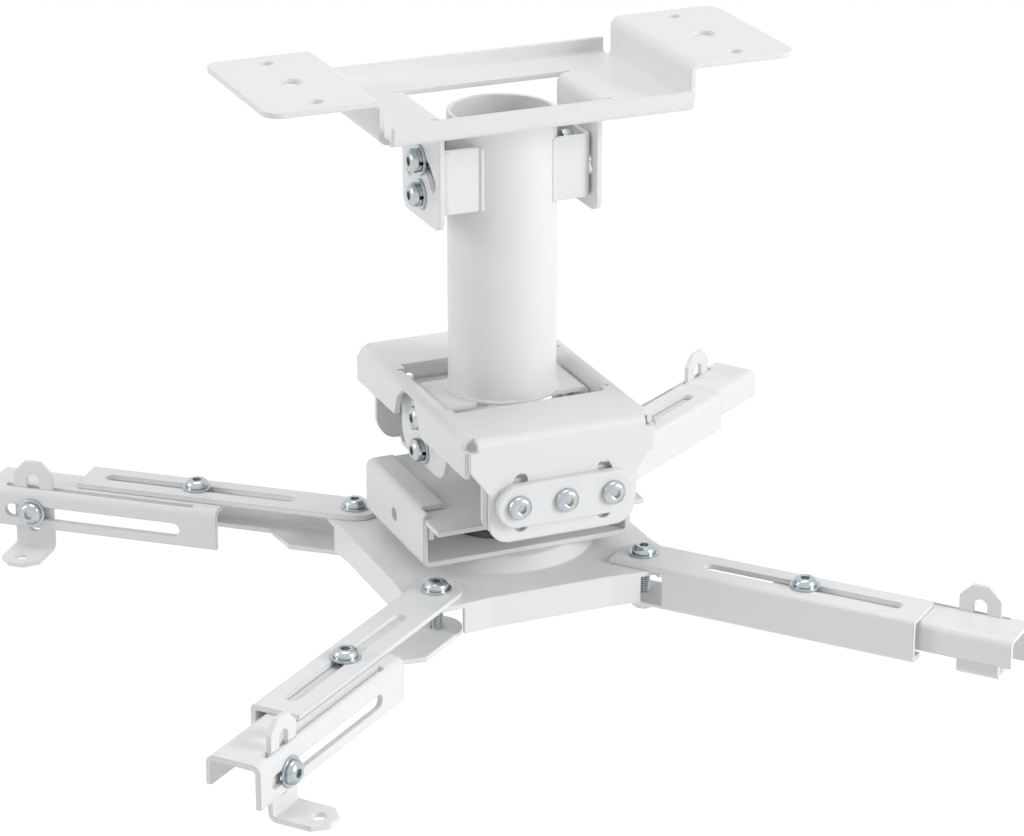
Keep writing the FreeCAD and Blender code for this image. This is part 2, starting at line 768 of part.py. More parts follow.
def make_nut(label, flat, high, bore):
    """Hexagon nut lying on zero."""
    body = new_body(label)
    add(body, "z", "0", high, hexagon(flat), ("circle", "0", "0", bore))
    return body


def make_washer(label, wide, high, bore):
    """Flat ring lying on zero."""
    body = new_body(label)
    add(body, "z", "0", high, ("circle", "0", "0", wide), ("circle", "0", "0", bore))
    return body


def make_group(label, pieces):
    """Place separate solids, each a shape, a point and a direction, in one sub-part."""
    solids = []
    for master, point, direction in pieces:
        solid = master.Shape.copy()
        turn = Rotation(Vector(0, 0, 1), Vector(*direction))
        solid.Placement = Placement(Vector(*point), turn).multiply(solid.Placement)
        solids.append(solid)
    group = doc.addObject("Part::Feature", label)
    group.Label = label
    group.Shape = Part.makeCompound(solids)
    return group


def waisted_square(edge, dip):
    """Corners of a square whose sides are drawn in between its legs."""
    side = [(edge, edge), (edge, "spider_flank"), (dip, "spider_belly"),
            (dip, "-spider_belly"), (edge, "-spider_flank")]
    points = []
    for _ in range(4):
        points += side
        side = [(up, "-(" + across + ")") for across, up in side]
    return ("polygon", points)


# Spider: pressed square with a round boss under the rail and four open legs under the arms.
def make_spider_plate():
    body = new_body("spider_plate")
    body.setExpression("Placement.Base.y", bound("rail_shift"))
    set_down(body, "lower_pivot")
    ceiling = "spider_top - sheet"
    inside = "spider_half - sheet"
    boss_under = "boss_top - sheet"
    add(body, "z", "spider_under", "spider_top",
        waisted_square("spider_half", "spider_half - spider_waist"))
    round_off(body, "spider_round",
              ("z", {"xside": "spider_half", "yside": "spider_half"}))
    cut(body, "z", "spider_under", ceiling,
        waisted_square(inside, "spider_half - spider_waist - sheet"))
    near, far = "arm_pivot - leg_open", "spider_half + sheet"
    openings = []
    for left, right in ((near, far), ("-(" + far + ")", "-(" + near + ")")):
        openings.append(rectangle(left, right, near, far))
        openings.append(rectangle(left, right, "-(" + far + ")", "-(" + near + ")"))
    cut(body, "z", "spider_under", ceiling, *openings)
    cut(body, "z", ceiling, "spider_top", ("circle", "0", "0", "boss_wide - 2 * sheet"))
    spin(body, [
        ("0", "boss_top"), ("boss_wide / 2 - boss_slope", "boss_top"),
        ("boss_wide / 2", "spider_top"), ("boss_wide / 2", ceiling),
        ("boss_wide / 2 - sheet", ceiling), ("boss_wide / 2 - sheet - boss_slope", boss_under),
        ("0", boss_under)])
    holes = [("circle", across, up, "pivot_bore")
             for across in ("arm_pivot", "-arm_pivot") for up in ("arm_pivot", "-arm_pivot")]
    cut(body, "z", ceiling, "boss_top", ("circle", "0", "0", "swivel_screw + pin_play"), *holes)
    return body


def arm_place(corner):
    """Where an arm's own frame lies: X out along the arm, Y to its open side."""
    side, depth = ARM_CORNERS[corner]
    point = Vector(side * value("arm_pivot"), value("rail_shift") + depth * value("arm_pivot"),
                   value("lower_pivot"))
    return Placement(point, Rotation(Vector(0, 0, 1), ARM_TURNS[corner]))


def new_arm_body(name, corner):
    """Start a sub-part that is drawn in an arm's own frame."""
    body = new_body(name + "_" + corner)
    side, depth = ARM_CORNERS[corner]
    body.Placement = arm_place(corner)
    body.setExpression("Placement.Base.x", bound("%d * arm_pivot" % side))
    body.setExpression("Placement.Base.y", bound("rail_shift + %d * arm_pivot" % depth))
    set_down(body, "lower_pivot")
    return body


# Outer arm: channel whose closed wall faces clockwise, with a fork under the spider's leg.
def make_outer_arm(corner):
    body = new_arm_body("outer_arm", corner)
    start = "-arm_width / 2"
    lip = "arm_closed + arm_lip"
    add(body, "z", "arm_under", "arm_top",
        rectangle(start, "arm_reach", "arm_closed", "arm_opened"))
    add(body, "y", "arm_closed", "arm_closed + sheet",
        rectangle("arm_wall_start", "arm_reach", "arm_bottom", "arm_top"))
    add(body, "z", "arm_bottom", "arm_bottom + sheet", ("polygon", [
        (start, "arm_closed"), (start, "arm_opened"), ("fork_reach", "arm_opened"),
        ("fork_reach + fork_taper", lip), ("arm_reach", lip), ("arm_reach", "arm_closed")]))
    round_off(body, "arm_bend", ("x", {"y": "arm_closed", "z": "arm_top"}),
              ("x", {"y": "arm_closed", "z": "arm_bottom"}))
    inner = "arm_closed + sheet"
    round_off(body, "arm_bend / 2", ("x", {"y": inner, "z": "arm_under"}),
              ("x", {"y": inner, "z": "arm_bottom + sheet"}))
    round_off(body, "arm_nose", ("z", {"x": start, "y": "arm_opened"}))
    cut(body, "z", "arm_under", "arm_top",
        ("stadium", ("slot_start", "0"), ("slot_end", "0"), "slot_bore"))
    cut(body, "z", "arm_bottom", "arm_top", ("circle", "0", "0", "pivot_bore"))
    return body


# Inner arm: channel under the outer arm, with a windowed wall that carries the foot bracket.
def make_inner_arm(corner):
    body = new_arm_body("inner_arm", corner)
    closed = "-inner_closed"
    closed_start = "clamp_at + nut_flat"
    plate_under = "inner_top - sheet"
    add(body, "z", plate_under, "inner_top",
        rectangle("inner_start", "inner_end", closed, "inner_open"))
    add(body, "y", closed, closed + " + sheet",
        rectangle(closed_start, "inner_end", "inner_top - inner_short_wall", "inner_top"))
    add(body, "y", "wall_face", "inner_open",
        rectangle("inner_start", "inner_end", "inner_bottom", "inner_top"))
    cut(body, "z", plate_under, "inner_top",
        rectangle("inner_start", closed_start, closed, closed + " + fold_relief"))
    round_off(body, "bend", ("x", {"y": closed, "z": "inner_top"}),
              ("x", {"y": "inner_open", "z": "inner_top"}))
    round_off(body, "bend_inside", ("x", {"y": closed + " + sheet", "z": plate_under}),
              ("x", {"y": "wall_face", "z": plate_under}))
    cut(body, "z", "inner_top - bend", "inner_top",
        rectangle("loop_slot_start", "window_end", "foot_front - run_gap", "wall_face"))
    cut(body, "y", "wall_face", "inner_open",
        ("stadium", ("window_start + slot_bore / 2", "window_level"),
         ("window_end - slot_bore / 2", "window_level"), "slot_bore"))
    cut(body, "z", plate_under, "inner_top", ("circle", "clamp_at", "0", "pivot_bore"))
    return body


# Foot bracket: bent strip with a slotted upright inside the wall and a foot turned outward.
def make_foot_bracket(corner):
    body = new_arm_body("foot_bracket", corner)
    near = "foot_at - foot_wide / 2"
    far = "foot_at + foot_wide / 2"
    foot_end = "foot_front + foot_reach"
    add(body, "y", "foot_front", "foot_back", rectangle(near, far, "foot_bottom", "foot_top"))
    add(body, "z", "foot_bottom", "foot_bottom + sheet",
        rectangle(near, far, "foot_front", foot_end))
    round_off(body, "bend", ("x", {"y": "foot_front", "z": "foot_bottom"}))
    round_off(body, "bend_inside", ("x", {"y": "foot_back", "z": "foot_bottom + sheet"}))
    base = body.Tip
    corners = []
    for edge in (near, far):
        corners += straight_edges(body, "y", x=edge, z="foot_top")
        corners += straight_edges(body, "z", x=edge, y=foot_end)
    chamfer = body.newObject("PartDesign::Chamfer", "foot_chamfer_" + corner)
    chamfer.Base = (base, corners)
    chamfer.setExpression("Size", bound("foot_chamfer"))
    doc.recompute()
    slot_high = "foot_top - foot_slot_top - slot_bore / 2"
    slot_low = "foot_top - foot_slot_top - foot_slot_long + slot_bore / 2"
    cut(body, "y", "foot_front", "foot_back",
        ("stadium", ("foot_at", slot_high), ("foot_at", slot_low), "slot_bore"))
    cut(body, "z", "foot_bottom", "foot_bottom + sheet",
        ("circle", "foot_at", foot_end + " - foot_hole_in", "foot_hole"))
    return body


def make_swivel_bolt():
    """Low headed screw through disc, rail floor and boss."""
    body = new_body("swivel_bolt")
    body.setExpression("Placement.Base.y", bound("rail_shift"))
    set_down(body, "lower_pivot")
    seat = "rail_floor + sheet + disc_thick"
    tip = "boss_top - sheet - run_gap - swivel_nut_high - run_gap"
    spin(body, [
        ("0", seat + " + swivel_head_high"),
        ("swivel_head_wide / 2 - sheet", seat + " + swivel_head_high"),
        ("swivel_head_wide / 2", seat + " + swivel_head_high / 2"), ("swivel_head_wide / 2", seat),
        ("swivel_screw / 2", seat), ("swivel_screw / 2", tip), ("0", tip)])
    return body


def make_swivel_nut():
    """Nut under the boss, on the swivel screw."""
    body = new_body("swivel_nut")
    body.setExpression("Placement.Base.y", bound("rail_shift"))
    set_down(body, "lower_pivot")
    top = "boss_top - sheet - run_gap"
    add(body, "z", top + " - swivel_nut_high", top, hexagon("swivel_nut_flat"),
        ("circle", "0", "0", "swivel_screw + pin_play"))
    return body


def make_tilt_fasteners(place, level, cheek):
    """Two screws on each side of one tilt pivot, with their washers and nuts."""
    height = value(level)
    washer_at = value(cheek + " + pivot_gap + sheet + run_gap")
    spring_at = washer_at + value("washer_high")
    head_at = spring_at + value("spring_high")
    nut_at = value(cheek + " - sheet")
    screws, washers, springs, nuts = [], [], [], []
    for side in (-1, 1):
        for rise in (height, height + value("clamp_radius")):
            out = (side, 0, 0)
            screws.append((tilt_screw, (side * head_at, 0, rise), out))
            springs.append((spring_washer, (side * spring_at, 0, rise), out))
            washers.append((flat_washer, (side * washer_at, 0, rise), out))
            nuts.append((nut, (side * nut_at, 0, rise), (-side, 0, 0)))
    return [
        make_group(place + "_tilt_screws", screws),
        make_group(place + "_tilt_washers", washers),
        make_group(place + "_spring_washers", springs),
        make_group(place + "_tilt_nuts", nuts),
    ]


def make_roll_fasteners(place, side):
    """Three screws through strap, tongue and yoke, with their nuts."""
    height = value("lower_pivot - roll_drop")
    screws, nuts = [], []
    for across in (0, value("roll_radius"), -value("roll_radius")):
        screws.append((tilt_screw, (across, side * value("strap_outside"), height),
                       (0, side, 0)))
        nuts.append((nut, (across, side * value("yoke_inside"), height), (0, -side, 0)))
    return [make_group("roll_screws_" + place, screws), make_group("roll_nuts_" + place, nuts)]


def make_arm_fasteners(corner):
    """The pivot, clamp and foot screws of one arm, each with its washer and nut."""
    down, up, out = (0, 0, -1), (0, 0, 1), (0, 1, 0)
    washer = value("washer_high")
    arm_top = value("arm_top")
    clamp_at = value("clamp_at")
    foot_at = value("foot_at")
    window = value("window_level")
    clamp_seat = arm_top + value("run_gap")
    wall = value("inner_open + run_gap")
    groups = [
        make_group("pivot_screw_" + corner, [
            (pivot_screw, (0, 0, arm_top + washer), up), (flat_washer, (0, 0, arm_top), up),
            (nut, (0, 0, value("arm_bottom - nut_high")), up)]),
        make_group("clamp_screw_" + corner, [
            (clamp_screw, (clamp_at, 0, clamp_seat + washer), up),
            (flat_washer, (clamp_at, 0, clamp_seat), up),
            (nut, (clamp_at, 0, value("inner_top - sheet - nut_high")), up)]),
        make_group("foot_screw_" + corner, [
            (foot_screw, (foot_at, wall + washer, window), out),
            (flat_washer, (foot_at, wall, window), out),
            (nut, (foot_at, value("foot_front - run_gap"), window), (0, -1, 0))]),
    ]
    for group in groups:
        group.Placement = arm_place(corner)
    return groups


tilt_screw = make_button_screw("tilt_screw", "tilt_screw_long")
pivot_screw = make_button_screw("pivot_screw", "pivot_screw_long")
clamp_screw = make_button_screw("clamp_screw", "clamp_screw_long")
foot_screw = make_button_screw("foot_screw", "foot_screw_long")
nut = make_nut("nut", "nut_flat", "nut_high", "pivot_bore")
flat_washer = make_washer("flat_washer", "washer_wide", "washer_high", "washer_bore")
spring_washer = make_washer("spring_washer", "spring_wide", "spring_high", "washer_bore")

parts = [make_ceiling_plate(), make_drop_tube()]
parts += [make_tube_bracket(side) for side in ("left", "right")]
parts.append(make_lower_saddle())
parts += make_tilt_fasteners("ceiling", "-upper_pivot", "bracket_half")
parts.append(make_tilt_frame())
parts += make_tilt_fasteners("frame", "lower_pivot", "cheek_half")
parts.append(make_yoke())
for end, direction, near_face, mid_face, far_face in (
        ("front", -1, "-strap_outside", "-strap_inside", "-pad_inside"),
        ("rear", 1, "strap_outside", "strap_inside", "pad_inside")):
    strap_levels = sorted((near_face, mid_face), key=value)
    pad_levels = sorted((mid_face, far_face), key=value)
    parts.append(make_roll_strap("roll_strap_" + end, *strap_levels))
    parts.append(make_roll_strap("roll_pad_" + end, *pad_levels))
    parts += make_roll_fasteners(end, direction)
parts += [make_slide_rail(), make_swivel_disc(), make_swivel_bolt(), make_swivel_nut()]
parts.append(make_spider_plate())
for arm_corner in ARM_TURNS:
    parts.append(make_outer_arm(arm_corner))
    parts.append(make_inner_arm(arm_corner))
    parts.append(make_foot_bracket(arm_corner))
    parts += make_arm_fasteners(arm_corner)

doc.recompute()
for item in doc.Objects:
    if "Invalid" in item.State or "Error" in item.State:
        raise ValueError("%s could not be built" % item.Label)
for part in parts:
    if part.Shape.isNull() or not part.Shape.isValid():
        raise ValueError("%s is not a sound solid" % part.Label)

os.makedirs("parts", exist_ok=True)
for part in parts:
    part.Shape.exportStep("parts/" + part.Label + ".step")
print(len(parts), "parts written")
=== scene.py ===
"""Dresses the projector ceiling mount: white powder coat, zinc fasteners with real threads, weld beads."""

import json
import math

import bmesh
import bpy
from bpy.props import FloatProperty, FloatVectorProperty, PointerProperty
from mathutils import Matrix, Vector


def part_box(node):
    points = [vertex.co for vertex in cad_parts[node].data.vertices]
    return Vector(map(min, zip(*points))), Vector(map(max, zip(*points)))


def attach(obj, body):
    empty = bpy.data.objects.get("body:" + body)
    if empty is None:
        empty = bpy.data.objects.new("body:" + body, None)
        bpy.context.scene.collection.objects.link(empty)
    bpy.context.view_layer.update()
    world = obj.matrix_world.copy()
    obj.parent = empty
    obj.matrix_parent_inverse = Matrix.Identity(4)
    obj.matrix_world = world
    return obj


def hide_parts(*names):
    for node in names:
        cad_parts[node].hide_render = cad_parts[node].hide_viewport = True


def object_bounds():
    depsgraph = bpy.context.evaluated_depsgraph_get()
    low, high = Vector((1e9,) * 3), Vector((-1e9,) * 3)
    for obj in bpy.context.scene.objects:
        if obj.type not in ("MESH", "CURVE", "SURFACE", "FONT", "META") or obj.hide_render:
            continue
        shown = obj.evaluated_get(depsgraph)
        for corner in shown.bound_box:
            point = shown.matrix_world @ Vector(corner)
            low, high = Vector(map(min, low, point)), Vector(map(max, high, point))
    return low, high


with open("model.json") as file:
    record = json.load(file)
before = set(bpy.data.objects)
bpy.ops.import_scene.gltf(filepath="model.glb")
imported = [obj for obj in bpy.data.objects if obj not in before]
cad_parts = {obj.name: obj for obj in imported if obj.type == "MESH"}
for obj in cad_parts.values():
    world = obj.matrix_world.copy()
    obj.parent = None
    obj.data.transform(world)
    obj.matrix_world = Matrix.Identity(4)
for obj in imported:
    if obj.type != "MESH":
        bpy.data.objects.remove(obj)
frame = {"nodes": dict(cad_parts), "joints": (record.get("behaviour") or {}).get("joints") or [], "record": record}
CAD_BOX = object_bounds()
NODES = frame["nodes"]
BODIES = frame["record"]["behaviour"]["bodies"]

bl_info = {
    "name": "Projector ceiling mount",
    "version": (1, 0, 0),
    "blender": (4, 5, 0),
    "location": "View3D > Sidebar > Mount",
    "description": "Finishes the folded steel ceiling mount and its fasteners",
    "category": "Object",
}

MM = 0.001
CORNERS = ("front_left", "front_right", "rear_left", "rear_right")
ENDS = (("front", -1), ("rear", 1))
UP = Vector((0, 0, 1))
TURN = 2 * math.pi


class MOUNT_paint(bpy.types.PropertyGroup):
    """Powder coat on every folded sheet and on the tube"""
    colour: FloatVectorProperty(
        name="Colour", description="Colour of the powder coat", subtype="COLOR",
        size=4, min=0, max=1, default=(0.84, 0.842, 0.845, 1))
    roughness: FloatProperty(
        name="Roughness", description="Mean roughness of the coat", min=0, max=1, default=0.36)
    grain: FloatProperty(
        name="Grain", description="Spacing of the coat's orange peel", unit="LENGTH",
        default=1.6 * MM)
    edge_radius: FloatProperty(
        name="Edge radius", description="Rounding of the coated sheet edges", unit="LENGTH",
        default=0.35 * MM)
    soft_radius: FloatProperty(
        name="Soft radius", description="Reach of the coat's soft shading at edges",
        unit="LENGTH", default=0.9 * MM)


class MOUNT_fasteners(bpy.types.PropertyGroup):
    """M6 screws, nuts and washers"""
    colour: FloatVectorProperty(
        name="Zinc", description="Colour of the zinc plate", subtype="COLOR",
        size=4, min=0, max=1, default=(0.46, 0.52, 0.565, 1))
    head_diameter: FloatProperty(
        name="Head diameter", description="Button head", unit="LENGTH", default=11.4 * MM)
    head_height: FloatProperty(
        name="Head height", description="Button head", unit="LENGTH", default=3.4 * MM)
    socket: FloatProperty(
        name="Socket", description="Across the flats of the hexagon socket", unit="LENGTH",
        default=4.0 * MM)
    shank: FloatProperty(
        name="Shank", description="Outer diameter of the thread", unit="LENGTH", default=6.0 * MM)
    pitch: FloatProperty(
        name="Pitch", description="Pitch of the thread", unit="LENGTH", default=1.0 * MM)
    washer: FloatProperty(
        name="Washer", description="Outer diameter of the flat washers", unit="LENGTH",
        default=14.0 * MM)
    washer_thick: FloatProperty(
        name="Washer thickness", description="Flat washers", unit="LENGTH", default=1.2 * MM)
    bore: FloatProperty(
        name="Washer bore", description="Hole in the washers", unit="LENGTH", default=6.4 * MM)
    nut: FloatProperty(
        name="Nut", description="Across the flats of the nuts", unit="LENGTH", default=10.0 * MM)
    nut_height: FloatProperty(
        name="Nut height", description="Height of the nuts", unit="LENGTH", default=5.0 * MM)


class MOUNT_stage(bpy.types.PropertyGroup):
    """Camera, floor and lights"""
    lens: FloatProperty(
        name="Lens", description="Focal length on a 36 mm sensor", default=126.73)
    azimuth: FloatProperty(
        name="Azimuth", description="Camera turn to the left of the front, in degrees",
        default=23.1)
    elevation: FloatProperty(
        name="Elevation", description="Camera height angle, in degrees", default=21.7)
    drop: FloatProperty(
        name="Floor drop", description="From the feet down to the floor", unit="LENGTH",
        default=0.30)
    floor_white: FloatProperty(
        name="Floor white", description="Share of plain white in the floor; the rest keeps shadow",
        min=0, max=1, default=0.6)
    floor_glow: FloatProperty(
        name="Floor glow", description="Strength of the plain white in the floor", default=1.3)


class Value:
    """A shader socket that takes part in Python expressions."""

    def __init__(self, tree, socket):
        self.tree = tree
        self.socket = socket

    def node(self, kind, settings=None, **inputs):
        """Add a node, set it up, then set or link its named sockets."""
        made = self.tree.nodes.new(kind)
        for name, setting in (settings or {}).items():
            if name == "ramp":
                ramp = made.color_ramp
                while len(ramp.elements) < len(setting):
                    ramp.elements.new(0.5)
                for element, (place, colour) in zip(ramp.elements, setting):
                    element.position = place
                    element.color = colour
            else:
                setattr(made, name, setting)
        for name, given in inputs.items():
            key = int(name[1:]) if name[1:].isdigit() else name.replace("_", " ")
            target = made.inputs[key]
            if isinstance(given, Value):
                self.tree.links.new(given.socket, target)
            else:
                target.default_value = given
        return made

    def math(self, operation, first, second=0.0):
        made = self.node("ShaderNodeMath", {"operation": operation}, i0=first, i1=second)
        return Value(self.tree, made.outputs[0])

    def __add__(self, other):
        return self.math("ADD", self, other)

    __radd__ = __add__

    def __mul__(self, other):
        return self.math("MULTIPLY", self, other)

    __rmul__ = __mul__

    def __sub__(self, other):
        return self.math("SUBTRACT", self, other)

    def __rsub__(self, other):
        return self.math("SUBTRACT", other, self)

    def tint(self, low, high):
        """A colour between two, by this value."""
        made = self.node("ShaderNodeMix", {"data_type": "RGBA"}, i0=self, i6=low, i7=high)
        return Value(self.tree, made.outputs[2])


def new_material(name):
    """A material with a plain Principled shader; returns it, its shader and a starting value."""
    material = bpy.data.materials.new(name)
    material.use_nodes = True
    tree = material.node_tree
    shader = tree.nodes["Principled BSDF"]
    place = tree.nodes.new("ShaderNodeTexCoord")
    return material, shader, Value(tree, place.outputs["Object"])


def noise(place, spacing, detail=2.0, rough=0.5):
    """Noise whose lumps lie about one spacing apart."""
    made = place.node("ShaderNodeTexNoise", {"noise_dimensions": "3D"}, Vector=place,
                      Scale=1 / spacing, Detail=detail, Roughness=rough)
    return Value(place.tree, made.outputs["Fac"])


def spread(value, low, high, start=0.0, end=1.0):
    """Stretch a value's band from low to high onto start to end."""
    made = value.node("ShaderNodeMapRange", {"clamp": True}, Value=value, From_Min=low,
                      From_Max=high, To_Min=start, To_Max=end)
    return Value(value.tree, made.outputs["Result"])


def bump(place, height, strength, distance, radius=0.0):
    """A normal from a height, over edges rounded by a radius."""
    inputs = {"Height": height, "Strength": strength, "Distance": distance}
    if radius:
        soft = place.node("ShaderNodeBevel", {"samples": 6}, Radius=radius)
        inputs["Normal"] = Value(place.tree, soft.outputs["Normal"])
    made = place.node("ShaderNodeBump", **inputs)
    return Value(place.tree, made.outputs["Normal"])


def link(shader, **inputs):
    """Link or set sockets of the shader."""
    for name, given in inputs.items():
        socket = shader.inputs[name.replace("_", " ")]
        if isinstance(given, Value):
            given.tree.links.new(given.socket, socket)
        else:
            socket.default_value = given


def powder_coat():
    """White satin powder coat with fine orange peel and faint handling marks."""
    paint = bpy.context.scene.mount_paint
    material, shader, place = new_material("white powder coat")
    peel = noise(place, paint.grain, 3.0)
    cloud = noise(place, 45 * MM, 2.0)
    smudge = spread(noise(place, 14 * MM, 4.0, 0.6), 0.52, 0.72)
    low = tuple(0.985 * part for part in paint.colour[:3]) + (1,)
    link(shader,
         Base_Color=cloud.tint(low, tuple(paint.colour)),
         Roughness=spread(peel, 0.3, 0.7, paint.roughness - 0.04, paint.roughness + 0.04)
         + smudge * 0.05,
         Normal=bump(place, peel, 0.16, 0.1 * MM, paint.soft_radius))
    return material


def zinc(name, colour, roughness):
    """Plated steel with a faint blue and straw shift and fine scratches."""
    material, shader, place = new_material(name)
    shift = spread(noise(place, 5 * MM, 2.0), 0.35, 0.65)
    scratch = noise(place, 0.25 * MM, 4.0, 0.7)
    warm = (min(colour[0] * 1.18, 1), min(colour[1] * 1.08, 1), colour[2] * 0.97, 1)
    link(shader,
         Base_Color=shift.tint(tuple(colour[:3]) + (1,), warm),
         Metallic=1.0,
         Roughness=spread(scratch, 0.3, 0.7, roughness - 0.06, roughness + 0.1),
         Normal=bump(place, scratch, 0.08, 0.05 * MM))
    return material


def pressed_fibre():
    """Matt grey fibre of the pads under the roll straps."""
    material, shader, place = new_material("pad fibre")
    fibre = noise(place, 0.6 * MM, 5.0, 0.7)
    link(shader,
         Base_Color=fibre.tint((0.70, 0.71, 0.72, 1), (0.78, 0.79, 0.80, 1)),
         Roughness=spread(fibre, 0.2, 0.8, 0.6, 0.8),
         Normal=bump(place, fibre, 0.3, 0.1 * MM))
    return material


def clothe(node, material):
    """Give a CAD node a material in each of its slots."""
    obj = NODES[node]
    if not obj.material_slots:
        obj.data.materials.append(material)
    for slot in obj.material_slots:
        slot.material = material


def soften_edges(node, width):
    """Round the sharp sheet edges a little, as the coat does."""
    obj = NODES[node]
    weld = obj.modifiers.new("weld", "WELD")
    weld.merge_threshold = 0.002 * MM
    flat = obj.modifiers.new("flat", "DECIMATE")
    flat.decimate_type = "DISSOLVE"
    flat.angle_limit = math.radians(0.5)
    bevel = obj.modifiers.new("edge", "BEVEL")
    bevel.width = width
    bevel.segments = 2
    bevel.limit_method = "ANGLE"
    bevel.angle_limit = math.radians(50)
    bevel.harden_normals = False
    smooth = obj.modifiers.new("smooth", "WEIGHTED_NORMAL")
    smooth.keep_sharp = True


def new_piece(name, mesh_builder, material, body, slot, *nodes):
    """Make a piece from a bmesh, let it ride on a body and stand for CAD nodes."""
    mesh = bpy.data.meshes.new(name)
    shape = bmesh.new()
    mesh_builder(shape)
    bmesh.ops.recalc_face_normals(shape, faces=shape.faces)
    shape.to_mesh(mesh)
    shape.free()
    mesh.materials.append(material)
    for face in mesh.polygons:
        face.use_smooth = True
    obj = bpy.data.objects.new(name, mesh)
    bpy.context.scene.collection.objects.link(obj)
    mesh.set_sharp_from_angle(angle=math.radians(32))
    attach(obj, body)
    if nodes:
        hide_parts(*nodes)
    return obj


def body_of(node):
    """Name of the body that holds a CAD node."""
    return next(body for body, members in BODIES.items() if node in members)


def rings_to_mesh(shape, place, rings, close_first=True, close_last=True):
    """Skin rings of local points, all of one count, and close the ends."""
    rows = [[shape.verts.new(place @ Vector(point)) for point in ring] for ring in rings]
    count = len(rows[0])
    for low, high in zip(rows, rows[1:]):
        for i in range(count):
            j = (i + 1) % count
            shape.faces.new((low[i], low[j], high[j], high[i]))
    if close_first:
        shape.faces.new(rows[0])
    if close_last:
        shape.faces.new(list(reversed(rows[-1])))
    return rows


def circle_ring(radius, height, count):
    """Points of a circle about the local Z axis."""
    return [(radius * math.cos(TURN * i / count), radius * math.sin(TURN * i / count), height)
            for i in range(count)]


def hexagon_radius(flat, angle):
    """Distance from the centre to a hexagon's outline at an angle."""
    sixth = TURN / 6
    return flat / 2 / math.cos((angle + sixth / 2) % sixth - sixth / 2)


def hexagon_ring(flat, height, count, limit=1.0):
    """Points of a hexagon, none further out than a limit."""
    ring = []
    for i in range(count):
        angle = TURN * i / count
        radius = min(hexagon_radius(flat, angle), limit)
        ring.append((radius * math.cos(angle), radius * math.sin(angle), height))
    return ring


def add_screw(shape, place, length):
    """Button head screw: seat at local zero, head up, thread down."""
    size = bpy.context.scene.mount_fasteners
    count = 36
    wide = size.head_diameter / 2
    tall = size.head_height
    rim = size.socket * 0.66
    rings = []
    floor_depth = tall - 2.2 * MM
    rings.append(hexagon_ring(size.socket * 0.2, floor_depth - 0.4 * MM, count))
    rings.append(hexagon_ring(size.socket, floor_depth, count))
    rings.append(hexagon_ring(size.socket, tall - 0.25 * MM, count))
    rings.append(circle_ring(rim, tall, count))
    steps = 9
    for step in range(steps + 1):
        angle = step / steps * math.pi / 2
        flat_part = rim + 0.3 * MM
        radius = flat_part + (wide - flat_part) * math.sin(angle)
        rings.append(circle_ring(radius, 0.5 * MM + (tall - 0.5 * MM) * math.cos(angle), count))
    rings.append(circle_ring(wide, 0.15 * MM, count))
    rings.append(circle_ring(wide - 0.15 * MM, 0.0, count))
    crest = size.shank / 2
    depth = 0.55 * size.pitch
    rings.append(circle_ring(crest - depth / 2, 0.0, count))
    per_turn = 6
    total = int(length / size.pitch * per_turn)
    for row in range(1, total + 1):
        height = -row * size.pitch / per_turn
        taper = min(1.0, (total - row) / (0.8 * per_turn))
        ring = []
        for i in range(count):
            angle = TURN * i / count
            phase = (height / size.pitch - angle / TURN) % 1.0
            groove = depth * max(0.0, 1 - abs(phase - 0.5) * 2.6)
            radius = crest - groove - (1 - taper) * 0.5 * MM
            ring.append((radius * math.cos(angle), radius * math.sin(angle), height))
        rings.append(ring)
    rings_to_mesh(shape, place, rings)


def add_nut(shape, place, flat, height, bore):
    """Chamfered hexagon nut lying on local zero."""
    count = 48
    crown = flat / 2 * 1.0
    chamfer = 0.55 * MM
    rings = [circle_ring(bore / 2, 0.5 * MM, count), circle_ring(bore / 2 + 0.4 * MM, 0, count),
             circle_ring(crown * 0.97, 0, count)]
    for level in (0.25, 0.5, 1.0):
        rings.append(hexagon_ring(flat, chamfer * level, count, crown * (0.98 + 0.175 * level)))
    for level in (1.0, 0.5, 0.25):
        rings.append(hexagon_ring(flat, height - chamfer * level, count,
                                  crown * (0.98 + 0.175 * level)))
    rings += [circle_ring(crown * 0.97, height, count),
              circle_ring(bore / 2 + 0.4 * MM, height, count),
              circle_ring(bore / 2, height - 0.5 * MM, count)]
    rings.append(rings[0])
    rings_to_mesh(shape, place, rings, False, False)


def add_washer(shape, place, wide, height, bore):
    """Flat washer with broken edges, lying on local zero."""
    count = 48
    edge = 0.15 * MM
    rings = [circle_ring(bore / 2, edge, count), circle_ring(bore / 2 + edge, 0, count),
             circle_ring(wide / 2 - edge, 0, count), circle_ring(wide / 2, edge, count),
             circle_ring(wide / 2, height - edge, count),
             circle_ring(wide / 2 - edge, height, count),
             circle_ring(bore / 2 + edge, height, count),
             circle_ring(bore / 2, height - edge, count)]
    rings.append(rings[0])
    rings_to_mesh(shape, place, rings, False, False)


def add_spring_washer(shape, place, wide, height, bore):
    """Split ring, its ends a little apart."""
    steps = 44
    gap = 0.05
    lift = height * 0.12
    section = height - lift
    rows = []
    for step in range(steps + 1):
        share = step / steps
        angle = TURN * (gap / 2 + share * (1 - gap))
        base = lift * share
        across, up = math.cos(angle), math.sin(angle)
        rows.append([(radius * across, radius * up, base + level) for radius, level in (
            (bore / 2, 0), (wide / 2, 0), (wide / 2, section), (bore / 2, section))])
    rings_to_mesh(shape, place, rows)


def along(node, direction):
    """Lowest and highest reach of a CAD node in a direction."""
    reach = [vertex.co.dot(direction) for vertex in NODES[node].data.vertices]
    return min(reach), max(reach)


def facing(point, direction):
    """A frame at a point whose local Z looks in a direction."""
    return Matrix.Translation(point) @ direction.to_track_quat("Z", "Y").to_matrix().to_4x4()


